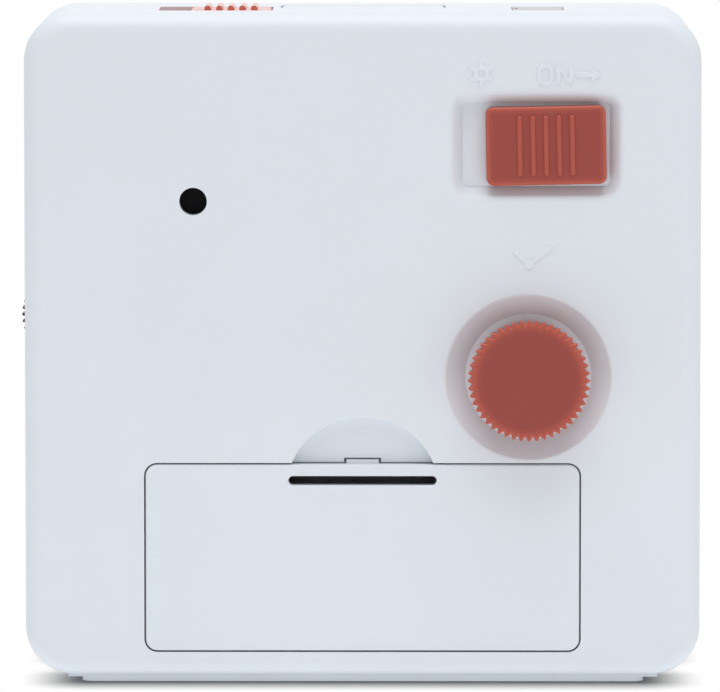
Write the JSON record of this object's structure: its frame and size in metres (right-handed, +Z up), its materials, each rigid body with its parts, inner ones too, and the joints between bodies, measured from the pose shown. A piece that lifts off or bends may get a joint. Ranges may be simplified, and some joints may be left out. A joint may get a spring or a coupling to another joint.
{
  "type": "analog alarm clock",
  "caption": "Square bedside quartz alarm clock with a round-cornered plastic case, toothed set knob, slide switches, side thumbwheel and a battery door at the back.",
  "frame": {"origin": "middle of the foot strip's underside, below the middle of the case", "axes": "+Z up, -Y the way the dial faces, +X to the right seen from the dial"},
  "size_m": [0.0892, 0.0368, 0.0881],
  "materials": {
    "white_case": "fine satin moulded plastic",
    "red_control": "brick red moulded plastic, satin",
    "clear_pane": "clear polished pane",
    "smoked_window": "grey tinted pane",
    "dial_white": "matt printed dial",
    "hand_black": "black painted sheet",
    "hand_red": "red painted sheet",
    "gear_plastic": "natural acetal",
    "plate_plastic": "grey moulded plastic",
    "magnet": "plastic bonded magnet with a moulded pinion",
    "steel": "nickel plated steel",
    "copper": "enamelled copper wire",
    "board": "green circuit board",
    "black_plastic": "black moulded plastic",
    "cell_wrap": "plain grey wrapped steel can",
    "lamp_red": "red lamp",
    "lamp_clear": "clear lamp",
    "foot_rubber": "grey soft foot strip"
  },
  "bodies": {
    "case": {"rear_shell": "white_case", "front_bezel": "white_case", "dial_spacer": "white_case", "lens": "clear_pane", "indicator_window": "smoked_window", "dial": "dial_white", "front_plate": "plate_plastic", "rear_plate": "plate_plastic", "movement_screws": "steel", "board_screws": "steel", "positive_contact": "steel", "negative_contact": "steel", "motor_stator": "steel", "quartz_crystal": "steel", "motor_coil": "copper", "circuit_board": "board", "clock_chip": "black_plastic", "buzzer": "black_plastic", "light_switch_body": "black_plastic", "alarm_switch_body": "black_plastic", "snooze_switch": "black_plastic", "battery_cell": "cell_wrap", "indicator_led": "lamp_red", "dial_led": "lamp_clear", "base_pad": "foot_rubber"},
    "knob": {"set_knob": "red_control", "setting_shaft": "gear_plastic"},
    "setting_idler_body": {"setting_idler": "gear_plastic"},
    "minutes": {"cannon_pinion": "gear_plastic", "minute_hand": "hand_black"},
    "minute_wheel_body": {"minute_wheel": "gear_plastic"},
    "hours": {"hour_wheel": "gear_plastic", "hour_hand": "hand_black"},
    "seconds": {"seconds_arbor": "gear_plastic", "second_hand": "hand_red"},
    "third_wheel_body": {"third_wheel": "gear_plastic"},
    "centre_wheel_body": {"centre_wheel": "gear_plastic"},
    "intermediate_wheel_body": {"intermediate_wheel": "gear_plastic"},
    "rotor": {"motor_rotor": "magnet"},
    "thumbwheel": {"alarm_set_wheel": "red_control"},
    "alarm_idler_body": {"alarm_idler": "gear_plastic"},
    "alarm": {"alarm_wheel": "gear_plastic", "alarm_hand": "hand_red"},
    "light_button": {"light_switch": "red_control"},
    "alarm_button": {"alarm_slider": "red_control"},
    "snooze": {"snooze_bar": "white_case", "snooze_plunger": "gear_plastic"},
    "door": {"battery_door": "white_case"}
  },
  "joints": [
    {"name": "set_knob_turn", "type": "hinge", "parent": "case", "child": "knob", "pos_m": [-0.02157, 0, 0.04018], "axis": [0, 1, 0], "continuous": true},
    {"name": "setting_idler_turn", "type": "hinge", "parent": "case", "child": "setting_idler_body", "pos_m": [-0.01066, 0, 0.04159], "axis": [0, 1, 0], "continuous": true},
    {"name": "minute_hand_turn", "type": "hinge", "parent": "case", "child": "minutes", "pos_m": [0, 0, 0.0443], "axis": [0, 1, 0], "continuous": true},
    {"name": "minute_wheel_turn", "type": "hinge", "parent": "case", "child": "minute_wheel_body", "pos_m": [-0.005, 0, 0.05296], "axis": [0, 1, 0], "continuous": true},
    {"name": "hour_hand_turn", "type": "hinge", "parent": "case", "child": "hours", "pos_m": [0, 0, 0.0443], "axis": [0, 1, 0], "continuous": true},
    {"name": "second_hand_turn", "type": "hinge", "parent": "case", "child": "seconds", "pos_m": [0, 0, 0.0443], "axis": [0, 1, 0], "continuous": true},
    {"name": "third_wheel_turn", "type": "hinge", "parent": "case", "child": "third_wheel_body", "pos_m": [0.00675, 0, 0.05599], "axis": [0, 1, 0], "continuous": true},
    {"name": "centre_wheel_turn", "type": "hinge", "parent": "case", "child": "centre_wheel_body", "pos_m": [0, 0, 0.0443], "axis": [0, 1, 0], "continuous": true},
    {"name": "intermediate_wheel_turn", "type": "hinge", "parent": "case", "child": "intermediate_wheel_body", "pos_m": [-0.01104, 0, 0.05067], "axis": [0, 1, 0], "continuous": true},
    {"name": "rotor_turn", "type": "hinge", "parent": "case", "child": "rotor", "pos_m": [-0.01754, 0, 0.05443], "axis": [0, 1, 0], "continuous": true},
    {"name": "alarm_set_turn", "type": "hinge", "parent": "case", "child": "thumbwheel", "pos_m": [0.03915, 0, 0.0466], "axis": [0, 1, 0], "continuous": true},
    {"name": "alarm_idler_turn", "type": "hinge", "parent": "case", "child": "alarm_idler_body", "pos_m": [0.02225, 0, 0.04788], "axis": [0, 1, 0], "continuous": true},
    {"name": "alarm_hand_turn", "type": "hinge", "parent": "case", "child": "alarm", "pos_m": [0, 0, 0.0443], "axis": [0, 1, 0], "continuous": true},
    {"name": "light_switch_slide", "type": "slide", "parent": "case", "child": "light_button", "axis": [1, 0, 0], "range_m": [0, 0.0025]},
    {"name": "alarm_slider_slide", "type": "slide", "parent": "case", "child": "alarm_button", "axis": [1, 0, 0], "range_m": [0, 0.004]},
    {"name": "snooze_press", "type": "slide", "parent": "case", "child": "snooze", "axis": [0, 0, 1], "range_m": [-0.001, 0], "stiffness_N_per_m": 300, "springref_m": 0.002},
    {"name": "battery_door_hinge", "type": "hinge", "parent": "case", "child": "door", "pos_m": [0, 0.0157, 0.0047], "axis": [-1, 0, 0], "range_deg": [0, 60]}
  ],
  "couplings": [
    {"joint": "setting_idler_turn", "follows": "set_knob_turn", "ratio": -1.2},
    {"joint": "minute_hand_turn", "follows": "set_knob_turn", "ratio": 1},
    {"joint": "minute_wheel_turn", "follows": "set_knob_turn", "ratio": -0.33333},
    {"joint": "hour_hand_turn", "follows": "set_knob_turn", "ratio": 0.083333},
    {"joint": "third_wheel_turn", "follows": "second_hand_turn", "ratio": -0.13333},
    {"joint": "centre_wheel_turn", "follows": "second_hand_turn", "ratio": 0.016667},
    {"joint": "intermediate_wheel_turn", "follows": "second_hand_turn", "ratio": -7.5},
    {"joint": "rotor_turn", "follows": "second_hand_turn", "ratio": 30},
    {"joint": "alarm_idler_turn", "follows": "alarm_set_turn", "ratio": -0.53165},
    {"joint": "alarm_hand_turn", "follows": "alarm_set_turn", "ratio": 0.5122}
  ]
}
